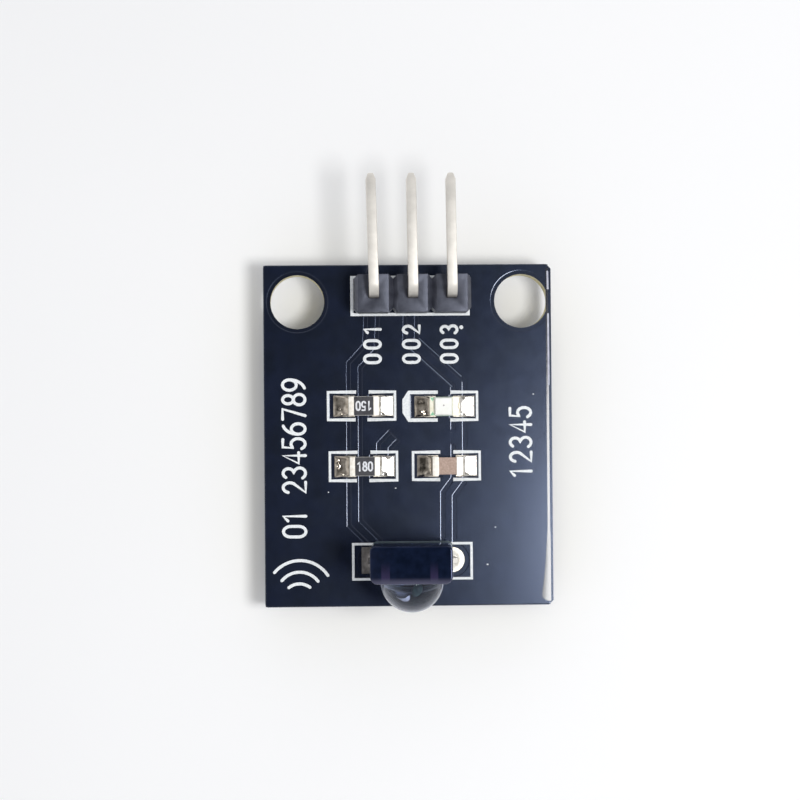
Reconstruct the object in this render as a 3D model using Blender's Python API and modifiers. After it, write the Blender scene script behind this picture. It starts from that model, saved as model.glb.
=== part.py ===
"""Infrared receiver module: a small circuit board with a three-pin header bent over its top edge, a
domed receiver at the opposite edge, two chip resistors, a chip capacitor and a chip LED.

The lengths below are millimetres in the board's own frame: X and Y from the board's centre, Z up from
its underside. The objects themselves are in metres. The module stands on its soldered tails, with the
middle of its overall base at the world origin.
"""

from math import cos, pi, radians, sin

import bmesh
import bpy
from mathutils import Matrix, Vector

MM = 0.001

# Gaps: what rests on a face keeps seat_gap to it, what passes through a hole keeps fit_gap all round.
seat_gap = 0.01
fit_gap = 0.015
copper = 0.035
hair = 1e-3

# Board
board_width = 19.0
board_length = 22.5
board_thickness = 1.6
left_corner_cut = 0.15
right_corner_cut = 0.30
mounting_hole_diameter = 3.55
mounting_hole_spacing = 14.78
mounting_hole_shift = 0.13
mounting_hole_to_edge = 2.43

# The header and the receiver share one pitch and one centre line.
pitch = 2.54
pin_count = 3
row_x = 0.26
tail_length = 1.4

# Header
header_row_to_edge = 2.0
pin_size = 0.64
pin_point_length = 0.4
pin_point_flat = 0.34
pin_reach = 7.7
pin_bend_radius = 0.75
pin_bend_rise = 0.15
pin_turns = (1.4, 0.8, 0.7)
housing_depth = 2.45
housing_height = 2.54
housing_corner = 0.25
housing_notch = 0.28
housing_groove = 0.30

# Plated holes and their solder
header_hole_diameter = 1.2
header_land_diameter = 1.8
receiver_hole_diameter = 1.0
receiver_land_diameter = 1.67
receiver_square_land = 1.75
plating = 0.05
solder_cone_height = 1.0
solder_cone_tip = 0.16
solder_edge = 0.06
solder_top_height = 0.16

# Receiver
receiver_row_to_edge = 3.03
receiver_lean = 3.0
body_width = 5.2
body_depth = 2.4
body_height = 6.95
body_standoff = 1.5
body_ahead_of_row = -0.09
body_front_corner = 0.5
body_back_corner = 0.2
body_top_edge = 0.12
dome_radius = 2.0
dome_centre_height = 4.15
dome_centre_inset = 0.05
lead_width = 0.5
lead_depth = 0.4
shoulder_width = 0.85
shoulder_drop = 0.3

# Chips, their lands and their fillets
chip_length = 2.0
chip_width = 1.25
capacitor_width = 1.2
land_length = 1.4
land_width = 1.38
land_span = 3.95
solder_film = 0.02
fillet_width = 1.3
fillet_inset = 0.04
metal = 0.03
resistor_height = 0.5
resistor_cap = 0.36
overcoat_thickness = 0.05
overcoat_width = 1.21
capacitor_height = 0.8
capacitor_cap = 0.34
capacitor_fillet_height = 0.6
led_base_height = 0.3
led_caps = (0.31, 0.5)
lens_height = 0.45
lens_gap = 0.01
lens_width = 1.2
lens_draft = 0.04
chip_edge = 0.04

chip_places = {
    "resistor_a": (-2.95, 1.95),
    "resistor_b": (-2.90, -2.03),
    "capacitor": (2.54, -2.04),
    "led": (2.40, 1.88),
}

# Places worked out from the sizes above
board_top = board_thickness
header_row_y = board_length / 2 - header_row_to_edge
receiver_row_y = -board_length / 2 + receiver_row_to_edge
land_top = board_top + seat_gap + copper
chip_floor = land_top + solder_film
housing_floor = board_top + seat_gap + copper + seat_gap
arm_height = housing_floor + housing_height + pin_bend_rise + pin_bend_radius
body_floor = body_standoff + board_thickness / 2
body_centre_y = -body_ahead_of_row
dome_front = receiver_row_y + body_centre_y - body_depth / 2 + dome_centre_inset - dome_radius
tip_end = header_row_y + pin_reach
module_middle_y = (tip_end + dome_front) / 2
sides = ((-1, 1), (1, 2))


def clear_scene():
    for obj in list(bpy.data.objects):
        bpy.data.objects.remove(obj)


def new_collection(name):
    collection = bpy.data.collections.new(name)
    bpy.context.scene.collection.children.link(collection)
    return collection


def new_material(name, colour, roughness, metallic=0.0, transmission=0.0):
    material = bpy.data.materials.new(name)
    material.use_nodes = True
    shader = material.node_tree.nodes["Principled BSDF"]
    shader.inputs["Base Color"].default_value = (*colour, 1.0)
    shader.inputs["Roughness"].default_value = roughness
    shader.inputs["Metallic"].default_value = metallic
    shader.inputs["Transmission Weight"].default_value = transmission
    material.diffuse_color = (*colour, 1.0)
    return material


def new_empty(name, place, parent=None):
    empty = bpy.data.objects.new(name, None)
    empty.location = Vector(place) * MM
    empty.parent = parent
    parts.objects.link(empty)
    return empty


def new_object(name, bm, material, place=(0, 0, 0), parent=None):
    """An object from a bmesh drawn in millimetres."""
    bm.transform(Matrix.Scale(MM, 4))
    mesh = bpy.data.meshes.new(name)
    bm.to_mesh(mesh)
    bm.free()
    obj = bpy.data.objects.new(name, mesh)
    obj.location = Vector(place) * MM
    obj.parent = parent or board_frame
    parts.objects.link(obj)
    mesh.materials.append(material)
    return obj


def copy_of(source, name, place):
    obj = bpy.data.objects.new(name, source.data)
    obj.location = Vector(place) * MM
    obj.parent = source.parent
    parts.objects.link(obj)
    return obj


def new_cutter(name, bm, place=(0, 0, 0), parent=None):
    obj = new_object(name, bm, materials["epoxy"], place, parent)
    parts.objects.unlink(obj)
    cutters.objects.link(obj)
    obj.hide_render = True
    obj.display_type = "WIRE"
    return obj


def combine(obj, other, operation="DIFFERENCE"):
    modifier = obj.modifiers.new(other.name, "BOOLEAN")
    modifier.object = other
    modifier.operation = operation
    modifier.solver = "EXACT"


def settle(obj, smooth_under=35.0):
    """Turns the object's modifiers into its mesh and shades its round faces smooth."""
    bpy.context.view_layer.update()
    graph = bpy.context.evaluated_depsgraph_get()
    mesh = bpy.data.meshes.new_from_object(obj.evaluated_get(graph))
    obj.modifiers.clear()
    obj.data = mesh
    mesh.shade_smooth()
    mesh.set_sharp_from_angle(angle=radians(smooth_under))


def add_box(bm, size, centre=(0, 0, 0), turn=0.0, axis="Z"):
    matrix = Matrix.Translation(centre) @ Matrix.Rotation(radians(turn), 4, axis)
    return bmesh.ops.create_cube(bm, size=1.0, matrix=matrix @ Matrix.Diagonal((*size, 1.0)))["verts"]


def add_cylinder(bm, radius, low, high, place=(0, 0), segments=24):
    middle = Matrix.Translation((*place, (low + high) / 2))
    bmesh.ops.create_cone(bm, cap_ends=True, segments=segments, radius1=radius, radius2=radius,
                          depth=high - low, matrix=middle)


def bevel_edges(bm, chosen, width, segments=1):
    edges = [edge for edge in bm.edges if chosen(edge)]
    bmesh.ops.bevel(bm, geom=edges, offset=width, segments=segments, profile=0.5, affect="EDGES")


def runs_along(edge, axis):
    a, b = edge.verts
    direction = (b.co - a.co).normalized()
    return abs(direction[axis]) > 0.999


def middle_of(edge):
    return (edge.verts[0].co + edge.verts[1].co) / 2


def start_face(bm, width, depth, centre):
    """A rectangle in the XY plane, the first section of an extruded piece."""
    verts = [bm.verts.new(Vector(centre) + Vector((x * width / 2, y * depth / 2, 0)))
             for x, y in ((-1, -1), (-1, 1), (1, 1), (1, -1))]
    return bm.faces.new(verts)


def drop_inner_face(bm, face):
    """Removes the section that an extrusion leaves inside the piece."""
    if face.is_valid and all(len(edge.link_faces) > 2 for edge in face.edges):
        bmesh.ops.delete(bm, geom=[face], context="FACES_ONLY")


def extend(bm, face, move, scale=(1, 1, 1)):
    """Extrudes a face by a move and scales the new section about its own middle."""
    made = bmesh.ops.extrude_face_region(bm, geom=[face])["geom"]
    drop_inner_face(bm, face)
    verts = [item for item in made if isinstance(item, bmesh.types.BMVert)]
    new_face = next(item for item in made if isinstance(item, bmesh.types.BMFace))
    bmesh.ops.translate(bm, vec=Vector(move), verts=verts)
    middle = new_face.calc_center_median()
    bmesh.ops.scale(bm, vec=Vector(scale), space=Matrix.Translation(-middle), verts=verts)
    return new_face


def face_outwards(bm):
    bmesh.ops.recalc_face_normals(bm, faces=bm.faces)


def turned(name, profile, material, place, closed=False, steps=24):
    """A turned piece from (radius, height) points that run down its outer side."""
    bm = bmesh.new()
    verts = [bm.verts.new((radius, 0, height)) for radius, height in profile]
    for first, second in zip(verts, verts[1:]):
        bm.edges.new((first, second))
    if closed:
        bm.edges.new((verts[-1], verts[0]))
    obj = new_object(name, bm, material, place)
    screw = obj.modifiers.new("turn", "SCREW")
    screw.steps = screw.render_steps = steps
    screw.use_merge_vertices = True
    screw.merge_threshold = 1e-7
    return obj


def row_places(row_y):
    """Hole centres of a row, from left to right."""
    first = row_x - pitch * (pin_count - 1) / 2
    return [(first + pitch * i, row_y, 0) for i in range(pin_count)]


def mounting_places():
    y = board_length / 2 - mounting_hole_to_edge
    return [(mounting_hole_shift + side * mounting_hole_spacing / 2, y) for side in (-1, 1)]


def make_board():
    bm = bmesh.new()
    add_box(bm, (board_width, board_length, board_thickness), (0, 0, board_thickness / 2))
    bevel_edges(bm, lambda e: runs_along(e, 2) and middle_of(e).x < 0, left_corner_cut, 2)
    bevel_edges(bm, lambda e: runs_along(e, 2) and middle_of(e).x > board_width / 4, right_corner_cut)
    board = new_object("circuit_board", bm, materials["board"])

    drills = bmesh.new()
    low, high = -board_thickness, 2 * board_thickness
    for place in mounting_places():
        add_cylinder(drills, mounting_hole_diameter / 2, low, high, place, 48)
    for row_y, diameter in ((header_row_y, header_hole_diameter), (receiver_row_y, receiver_hole_diameter)):
        for x, y, _ in row_places(row_y):
            add_cylinder(drills, diameter / 2, low, high, (x, y))
    combine(board, new_cutter("drills", drills))
    settle(board)


def plated_ring(name, hole_diameter, land_diameter, place):
    """The copper of one plated hole: a barrel with a ring on each face of the board."""
    outer = hole_diameter / 2 - seat_gap
    inner = outer - plating
    land = land_diameter / 2
    top, bottom = board_top + seat_gap, -seat_gap
    profile = [(land, top + copper), (land, top), (outer, top), (outer, bottom), (land, bottom),
               (land, bottom - copper), (inner, bottom - copper), (inner, top + copper)]
    ring = turned(name, profile, materials["copper"], place, closed=True)
    settle(ring)
    return ring


def plated_square(name, hole_diameter, land_side, place):
    """The copper of the first receiver hole, whose lands are square."""
    outer = hole_diameter / 2 - seat_gap
    top, bottom = board_top + seat_gap, -seat_gap
    bm = bmesh.new()
    add_cylinder(bm, outer, bottom - copper / 2, top + copper / 2)
    ring = new_object(name, bm, materials["copper"], place)
    lands = bmesh.new()
    for middle in (top + copper / 2, bottom - copper / 2):
        add_box(lands, (land_side, land_side, copper), (0, 0, middle))
    combine(ring, new_cutter(name + "_lands", lands, place), "UNION")
    bore = bmesh.new()
    add_cylinder(bore, outer - plating, -board_thickness, 2 * board_thickness)
    combine(ring, new_cutter(name + "_bore", bore, place))
    settle(ring)


def concave(start, end, steps=5):
    """Points from start to end along a quarter of an ellipse that sags towards the axis."""
    (r0, z0), (r1, z1) = start, end
    points = []
    for i in range(steps + 1):
        angle = pi / 2 * i / steps
        points.append((r1 + (r0 - r1) * (1 - sin(angle)), z0 + (z1 - z0) * (1 - cos(angle))))
    return points


def header_solder_profile():
    """Solder from the top of the barrel down to the cone under the board, hugging the pin."""
    barrel = header_hole_diameter / 2 - seat_gap - plating - seat_gap
    land = header_land_diameter / 2 - solder_edge
    floor = -seat_gap - copper - seat_gap
    tip = pin_size / 2 * 2 ** 0.5 + solder_cone_tip
    cone = concave((land, floor - solder_edge), (tip, floor - solder_cone_height))
    return [(0, board_top), (barrel, board_top), (barrel, floor), (land, floor)] + cone + [(0, cone[-1][1])]


def receiver_solder_profile():
    """As the header's, with a low fillet on the upper land as well."""
    barrel = receiver_hole_diameter / 2 - seat_gap - plating - seat_gap
    land = receiver_land_diameter / 2 - solder_edge
    floor = -seat_gap - copper - seat_gap
    ceiling = land_top + seat_gap
    tip = lead_width / 2 + solder_cone_tip
    crown = concave((land, ceiling + solder_edge / 2), (tip, ceiling + solder_top_height), 4)[::-1]
    cone = concave((land, floor - solder_edge), (tip, floor - solder_cone_height))
    return ([(0, crown[0][1])] + crown + [(land, ceiling), (barrel, ceiling), (barrel, floor),
            (land, floor)] + cone + [(0, cone[-1][1])])


def make_header_solder(place, number):
    joint = turned(f"header_solder_{number}", header_solder_profile(), materials["solder"], place)
    wire = bmesh.new()
    side = pin_size + 2 * fit_gap
    add_box(wire, (side, side, 4 * board_thickness))
    cutter = new_cutter(f"header_wire_{number}", wire, place)
    cutter.rotation_euler.z = radians(pin_turns[number - 1])
    combine(joint, cutter)
    settle(joint)


def make_receiver_solder(place, number):
    joint = turned(f"receiver_solder_{number}", receiver_solder_profile(), materials["solder"], place)
    wire = bmesh.new()
    size = (lead_width + 2 * fit_gap, lead_depth + 2 * fit_gap, 4 * board_thickness)
    add_box(wire, size)
    combine(joint, new_cutter(f"receiver_wire_{number}", wire, lead_place(number), receiver_frame))
    settle(joint)


def make_header_pin(place, number):
    """Square wire, pointed at both ends and bent over the top of the housing."""
    bm = bmesh.new()
    taper = pin_size / pin_point_flat
    bend_start = arm_height - pin_bend_radius
    face = start_face(bm, pin_point_flat, pin_point_flat, (0, 0, -tail_length))
    face = extend(bm, face, (0, 0, pin_point_length), (taper, taper, 1))
    face = extend(bm, face, (0, 0, bend_start + tail_length - pin_point_length))
    bend = bmesh.ops.spin(bm, geom=[face], cent=(0, pin_bend_radius, bend_start), axis=(1, 0, 0),
                          angle=-pi / 2, steps=8, use_duplicate=False)
    drop_inner_face(bm, face)
    face = next(item for item in bend["geom_last"] if isinstance(item, bmesh.types.BMFace))
    face = extend(bm, face, (0, pin_reach - pin_bend_radius - pin_point_length, 0))
    extend(bm, face, (0, pin_point_length, 0), (1 / taper, 1, 1 / taper))
    bmesh.ops.remove_doubles(bm, verts=bm.verts, dist=1e-4)
    face_outwards(bm)
    pin = new_object(f"header_pin_{number}", bm, materials["tin"], place)
    pin.rotation_euler.z = radians(pin_turns[number - 1])
    settle(pin)


def make_housing():
    """Three moulded blocks in one piece, with notches and grooves where they would snap apart."""
    length = pitch * pin_count
    bm = bmesh.new()
    add_box(bm, (length, housing_depth, housing_height), (0, 0, housing_height / 2))
    bevel_edges(bm, lambda e: runs_along(e, 2), housing_corner)
    top = housing_height - hair
    bevel_edges(bm, lambda e: middle_of(e).z > top and runs_along(e, 1), housing_groove)
    housing = new_object("header_housing", bm, materials["nylon"], (row_x, header_row_y, housing_floor))
    grooves, notches, holes = bmesh.new(), bmesh.new(), bmesh.new()
    for i in range(1, pin_count):
        x = pitch * i - length / 2
        wide = housing_groove * 2 ** 0.5
        add_box(grooves, (wide, 2 * housing_depth, wide), (x, 0, housing_height), 45, "Y")
        wide = housing_notch * 2 ** 0.5
        for side in (-1, 1):
            add_box(notches, (wide, wide, 2 * housing_height), (x, side * housing_depth / 2, 0), 45)
    for i in range(pin_count):
        turn = radians(pin_turns[i])
        side = pin_size * (cos(turn) + sin(turn)) + 2 * fit_gap
        x = pitch * (i - (pin_count - 1) / 2)
        add_box(holes, (side, side, 4 * housing_height), (x, 0, 0))
    for name, bm in (("housing_grooves", grooves), ("housing_notches", notches), ("housing_holes", holes)):
        combine(housing, new_cutter(name, bm, (row_x, header_row_y, housing_floor)))
    settle(housing, 20.0)


def lead_place(number):
    return (pitch * (number - 1 - (pin_count - 1) / 2), 0, 0)


def make_receiver_lead(number):
    """A flat lead with a wide shoulder under the body, trimmed level below the board."""
    bm = bmesh.new()
    low = -board_thickness / 2 - 2 * tail_length
    shoulder = body_floor - seat_gap
    step = board_thickness / 2 + shoulder_drop
    widen = shoulder_width / lead_width
    face = start_face(bm, lead_width, lead_depth, (0, 0, low))
    face = extend(bm, face, (0, 0, step - low))
    face = extend(bm, face, (0, 0, (shoulder_width - lead_width) / 2), (widen, 1, 1))
    extend(bm, face, (0, 0, shoulder - face.calc_center_median().z))
    x = lead_place(number)[0]
    level = -board_thickness / 2 - tail_length
    tilt = Matrix.Rotation(radians(receiver_lean), 3, "Y")
    cut_through = tilt @ Vector((0, 0, level)) - Vector((x, 0, 0))
    bmesh.ops.bisect_plane(bm, geom=bm.verts[:] + bm.edges[:] + bm.faces[:], plane_co=cut_through,
                           plane_no=tilt @ Vector((0, 0, 1)), clear_inner=True)
    bmesh.ops.holes_fill(bm, edges=[edge for edge in bm.edges if edge.is_boundary])
    face_outwards(bm)
    lead = new_object(f"receiver_lead_{number}", bm, materials["tin"], lead_place(number), receiver_frame)
    settle(lead)


def make_receiver_body():
    """The sealed moulding: a slim block with rounded front corners and a dome on its front."""
    bm = bmesh.new()
    add_box(bm, (body_width, body_depth, body_height), (0, body_centre_y, body_floor + body_height / 2))
    bevel_edges(bm, lambda e: runs_along(e, 2) and middle_of(e).y < body_centre_y, body_front_corner, 4)
    back = body_centre_y + body_depth / 2 - hair
    bevel_edges(bm, lambda e: runs_along(e, 2) and middle_of(e).y > back, body_back_corner, 3)
    ends = (body_floor + hair, body_floor + body_height - hair)
    bevel_edges(bm, lambda e: not ends[0] < middle_of(e).z < ends[1], body_top_edge, 2)
    body = new_object("receiver_body", bm, materials["epoxy"], parent=receiver_frame)
    dome = bmesh.new()
    bmesh.ops.create_uvsphere(dome, u_segments=40, v_segments=20, radius=dome_radius)
    front = body_centre_y - body_depth / 2 + dome_centre_inset
    place = (0, front, body_floor + dome_centre_height)
    cutter = new_cutter("receiver_dome", dome, place, receiver_frame)
    cutter.rotation_euler.x = pi / 2
    combine(body, cutter, "UNION")
    settle(body)


def make_lands():
    """The two copper lands under each chip."""
    first = None
    for name, (x, y) in chip_places.items():
        for side, number in sides:
            place = (x + side * (land_span - land_length) / 2, y, board_top + seat_gap)
            land_name = f"{name}_land_{number}"
            if first:
                copy_of(first, land_name, place)
                continue
            bm = bmesh.new()
            add_box(bm, (land_length, land_width, copper), (0, 0, copper / 2))
            first = new_object(land_name, bm, materials["copper"], place)


def make_fillets(name, height, steps=6):
    """Solder drawn down in a concave sweep from each end of a chip to the outer edge of its land."""
    x, y = chip_places[name]
    for side, number in sides:
        bm = sweep_down(side, height, steps)
        start = x + side * (chip_length / 2 + seat_gap)
        place = (start, y, land_top + seat_gap)
        settle(new_object(f"{name}_fillet_{number}", bm, materials["solder"], place))


def sweep_down(side, height, steps):
    length = land_span / 2 - fillet_inset - chip_length / 2 - seat_gap
    bm = bmesh.new()
    verts = [bm.verts.new((0, y * fillet_width / 2, z))
             for y, z in ((-1, 0), (1, 0), (1, height), (-1, height))]
    face = bm.faces.new(verts)
    tall = height
    for i in range(1, steps + 1):
        angle = pi / 2 * i / steps
        target = solder_edge + (height - solder_edge) * (1 - sin(angle))
        move = length * ((1 - cos(angle)) - (1 - cos(angle - pi / 2 / steps)))
        face = extend(bm, face, (side * move, 0, (target - tall) / 2), (1, 1, target / tall))
        tall = target
    face_outwards(bm)
    return bm


def make_terminal(name, place, side, width, height, cap, pocket_width):
    """An end terminal, hollowed where the chip's core goes in."""
    bm = bmesh.new()
    add_box(bm, (cap, width, height), (-side * cap / 2, 0, height / 2))
    bevel_edges(bm, lambda e: side * middle_of(e).x > -hair, chip_edge / 2)
    at = (place[0] + side * chip_length / 2, place[1], chip_floor)
    terminal = new_object(name, bm, materials["tin"], at)
    pocket = bmesh.new()
    size = (chip_length, pocket_width, height - 2 * metal)
    add_box(pocket, size, (-side * (metal + chip_length / 2), 0, height / 2))
    combine(terminal, new_cutter(name + "_pocket", pocket, at))
    settle(terminal, 20.0)


def make_chip(name, core_name, material, height, caps, cup_width=None):
    """A chip's core and its two terminals: channels, or cups of cup_width that wrap the core's sides."""
    place = chip_places[name]
    wrap = metal + seat_gap
    width = cup_width - 2 * wrap if cup_width else chip_width
    bm = bmesh.new()
    add_box(bm, (chip_length - 2 * wrap, width, height - 2 * wrap))
    new_object(f"{name}_{core_name}", bm, materials[material], (*place, chip_floor + height / 2))
    for (side, number), cap in zip(sides, caps):
        pocket_width = cup_width - 2 * metal if cup_width else 2 * chip_width
        terminal = f"{name}_terminal_{number}"
        make_terminal(terminal, place, side, cup_width or chip_width, height, cap, pocket_width)
    return chip_floor + height - metal


def make_resistor(name):
    seat = make_chip(name, "core", "alumina", resistor_height, (resistor_cap, resistor_cap))
    bm = bmesh.new()
    length = chip_length - 2 * resistor_cap - 2 * seat_gap
    add_box(bm, (length, overcoat_width, overcoat_thickness), (0, 0, overcoat_thickness / 2))
    upper = overcoat_thickness - hair
    bevel_edges(bm, lambda e: middle_of(e).z > upper, overcoat_thickness / 3)
    new_object(f"{name}_overcoat", bm, materials["glass_coat"], (*chip_places[name], seat))
    make_fillets(name, resistor_height)


def make_capacitor():
    caps = (capacitor_cap, capacitor_cap)
    make_chip("capacitor", "core", "dielectric", capacitor_height, caps, capacitor_width)
    make_fillets("capacitor", capacitor_fillet_height)


def make_led():
    """The base with its terminals, and the lens that fills the space between them."""
    seat = make_chip("led", "base", "led_base", led_base_height, led_caps)
    length = chip_length - sum(led_caps) - 2 * lens_gap
    shift = (led_caps[0] - led_caps[1]) / 2
    bm = bmesh.new()
    add_box(bm, (length, lens_width, lens_height), (0, 0, lens_height / 2))
    crown = [vert for vert in bm.verts if vert.co.z > lens_height / 2]
    narrow = Vector((1 - 2 * lens_draft / length, 1 - 2 * lens_draft / lens_width, 1))
    bmesh.ops.scale(bm, vec=narrow, verts=crown)
    upper = lens_height - hair
    bevel_edges(bm, lambda e: middle_of(e).z > upper, chip_edge, 2)
    x, y = chip_places["led"]
    new_object("led_lens", bm, materials["lens"], (x + shift, y, seat))
    make_fillets("led", led_base_height)


def make_header():
    make_housing()
    ring = None
    for number, place in enumerate(row_places(header_row_y), 1):
        name = f"header_hole_{number}"
        if ring:
            copy_of(ring, name, place)
        else:
            ring = plated_ring(name, header_hole_diameter, header_land_diameter, place)
        make_header_pin(place, number)
        make_header_solder(place, number)


def make_receiver():
    make_receiver_body()
    ring = None
    for number, place in enumerate(row_places(receiver_row_y), 1):
        name = f"receiver_hole_{number}"
        if number == 1:
            plated_square(name, receiver_hole_diameter, receiver_square_land, place)
        elif ring:
            copy_of(ring, name, place)
        else:
            ring = plated_ring(name, receiver_hole_diameter, receiver_land_diameter, place)
        make_receiver_lead(number)
        make_receiver_solder(place, number)


clear_scene()
parts = new_collection("infrared_receiver_module")
cutters = new_collection("cutters")
materials = {
    "board": new_material("solder_mask", (0.016, 0.022, 0.045), 0.35),
    "copper": new_material("tinned_copper", (0.55, 0.52, 0.47), 0.35, metallic=1.0),
    "solder": new_material("solder", (0.62, 0.62, 0.60), 0.25, metallic=1.0),
    "tin": new_material("tin_plate", (0.66, 0.63, 0.56), 0.30, metallic=1.0),
    "nylon": new_material("black_nylon", (0.035, 0.033, 0.040), 0.55),
    "epoxy": new_material("dark_epoxy", (0.008, 0.007, 0.014), 0.15),
    "alumina": new_material("alumina", (0.72, 0.70, 0.66), 0.50),
    "glass_coat": new_material("black_glass_coat", (0.020, 0.020, 0.024), 0.40),
    "dielectric": new_material("tan_dielectric", (0.45, 0.31, 0.23), 0.50),
    "led_base": new_material("pale_green_base", (0.52, 0.62, 0.50), 0.50),
    "lens": new_material("clear_lens", (0.80, 0.82, 0.70), 0.20, transmission=0.3),
}
board_frame = new_empty("board_frame", (0, -module_middle_y, tail_length))
receiver_frame = new_empty("receiver_frame", (row_x, receiver_row_y, board_thickness / 2), board_frame)
receiver_frame.rotation_euler.y = -radians(receiver_lean)

make_board()
make_header()
make_receiver()
make_lands()
make_resistor("resistor_a")
make_resistor("resistor_b")
make_capacitor()
make_led()
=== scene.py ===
from math import atan, cos, exp, radians, sin, tan

import bmesh
import bpy
from mathutils import Matrix, Vector, noise


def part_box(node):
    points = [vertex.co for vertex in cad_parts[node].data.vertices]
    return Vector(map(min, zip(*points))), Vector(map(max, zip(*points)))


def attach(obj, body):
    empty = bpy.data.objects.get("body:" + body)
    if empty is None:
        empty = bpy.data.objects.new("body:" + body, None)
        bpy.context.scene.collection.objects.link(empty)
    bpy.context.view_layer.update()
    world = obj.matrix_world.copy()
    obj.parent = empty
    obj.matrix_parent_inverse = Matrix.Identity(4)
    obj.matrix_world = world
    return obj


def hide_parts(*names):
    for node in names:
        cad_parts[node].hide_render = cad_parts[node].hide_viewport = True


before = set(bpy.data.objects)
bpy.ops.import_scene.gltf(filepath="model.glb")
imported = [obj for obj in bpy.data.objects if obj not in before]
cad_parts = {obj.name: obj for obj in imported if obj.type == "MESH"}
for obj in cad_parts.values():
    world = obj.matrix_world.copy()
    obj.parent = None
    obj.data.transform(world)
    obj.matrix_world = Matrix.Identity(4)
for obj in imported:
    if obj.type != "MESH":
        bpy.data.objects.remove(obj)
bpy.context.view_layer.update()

# Everything is drawn in millimetres from the middle of the board's top face, then set in place.
mm = 0.001
boardLow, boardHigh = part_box("circuit_board")
middleX, middleY = (boardLow.x + boardHigh.x) / 2, (boardLow.y + boardHigh.y) / 2
onBoard = Matrix.Translation((middleX, middleY, boardHigh.z)) @ Matrix.Scale(mm, 4)
toUnderside = Matrix.Translation((0, 0, (boardLow.z - boardHigh.z) / mm))
underBoard = onBoard @ toUnderside @ Matrix.Diagonal((1, 1, -1, 1))

board = {
    "thickness": 1.6,
    "holes": ((-7.26, 8.82), (7.52, 8.82)),
    "holeRadius": 1.775,
    "header": ((-2.28, 9.25), (0.26, 9.25), (2.80, 9.25)),
    "receiver": ((-2.28, -8.22), (0.26, -8.22), (2.80, -8.22)),
}
chips = {
    "resistor_a": (-2.95, 1.95),
    "resistor_b": (-2.90, -2.03),
    "capacitor": (2.54, -2.04),
    "led": (2.40, 1.88),
}


def linear(hexCode):  # sRGB hex to the linear colour that the shaders take
    values = [int(hexCode[i:i + 2], 16) / 255 for i in (0, 2, 4)]
    return [v / 12.92 if v <= 0.04045 else ((v + 0.055) / 1.055) ** 2.4 for v in values] + [1.0]


def addNode(tree, kind, settings=None, links=None):
    node = tree.nodes.new(kind)
    for key, value in (settings or {}).items():
        if isinstance(key, str) and hasattr(node, key):
            setattr(node, key, value)
        else:
            node.inputs[key].default_value = value
    for key, source in (links or {}).items():
        tree.links.new(source, node.inputs[key])
    return node


def startMaterial(name, look):
    material = bpy.data.materials.new(name)
    material.use_nodes = True
    tree = material.node_tree
    shader = tree.nodes["Principled BSDF"]
    for socket, value in look.items():
        shader.inputs[socket].default_value = value
    spot = addNode(tree, "ShaderNodeTexCoord").outputs["Object"]
    inMm = {"operation": "SCALE", "Scale": 1 / mm}
    spot = addNode(tree, "ShaderNodeVectorMath", inMm, {0: spot}).outputs[0]
    return material, tree, shader, spot


def combine(tree, operation, *values):
    # A math node on sockets and plain numbers.
    plain = {i: value for i, value in enumerate(values) if isinstance(value, float)}
    linked = {i: value for i, value in enumerate(values) if i not in plain}
    return addNode(tree, "ShaderNodeMath", {"operation": operation, **plain}, linked).outputs[0]


def fade(tree, source, low, high, bottom=0.0, top=1.0, course="SMOOTHSTEP"):
    # A step from bottom to top while the source goes from low to high.
    settings = {"interpolation_type": course, "From Min": low, "From Max": high,
                "To Min": bottom, "To Max": top}
    return addNode(tree, "ShaderNodeMapRange", settings, {"Value": source}).outputs["Result"]


def tinted(tree, share, colour, hexCode):
    # A colour that gives way to another by the share.
    settings = {"data_type": "RGBA", 7: linear(hexCode)}
    return addNode(tree, "ShaderNodeMix", settings, {0: share, 6: colour}).outputs[2]


def blend(tree, share, first, second):
    # A shader that gives way to another by the share.
    return addNode(tree, "ShaderNodeMixShader", {}, {0: share, 1: first, 2: second}).outputs[0]


def patches(tree, spot, grain, detail=2.0):
    # Noise in patches of about one grain in millimetres.
    settings = {"Scale": 1 / grain, "Detail": detail}
    return addNode(tree, "ShaderNodeTexNoise", settings, {"Vector": spot}).outputs["Fac"]


def between(tree, source, low, high, start=0.0, end=1.0):
    # A colour between two, by the source.
    ramp = addNode(tree, "ShaderNodeValToRGB", {}, {"Fac": source})
    for stop, place, hexCode in zip(ramp.color_ramp.elements, (start, end), (low, high)):
        stop.position, stop.color = place, linear(hexCode)
    return ramp.outputs["Color"]


def blotched(tree, spot, grain, low, high):
    # A colour that wanders between two.
    return between(tree, patches(tree, spot, grain, 3.0), low, high, 0.35, 0.65)


def uneven(tree, spot, grain, low, high):
    # A number that wanders between two, for roughness.
    return fade(tree, patches(tree, spot, grain), 0.3, 0.7, low, high, "LINEAR")


def bumped(tree, shader, spot, grain, height):
    # Fine relief of a given height in millimetres.
    settings = {"Strength": 1.0, "Distance": height * mm}
    bump = addNode(tree, "ShaderNodeBump", settings, {"Height": patches(tree, spot, grain)})
    tree.links.new(bump.outputs["Normal"], shader.inputs["Normal"])


def patterned(name, look, base, rough, relief):
    # A material from one pattern of colour, one of roughness and one of relief.
    material, tree, shader, spot = startMaterial(name, look)
    tree.links.new(blotched(tree, spot, *base), shader.inputs["Base Color"])
    tree.links.new(uneven(tree, spot, *rough), shader.inputs["Roughness"])
    bumped(tree, shader, spot, *relief)
    return material


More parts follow.
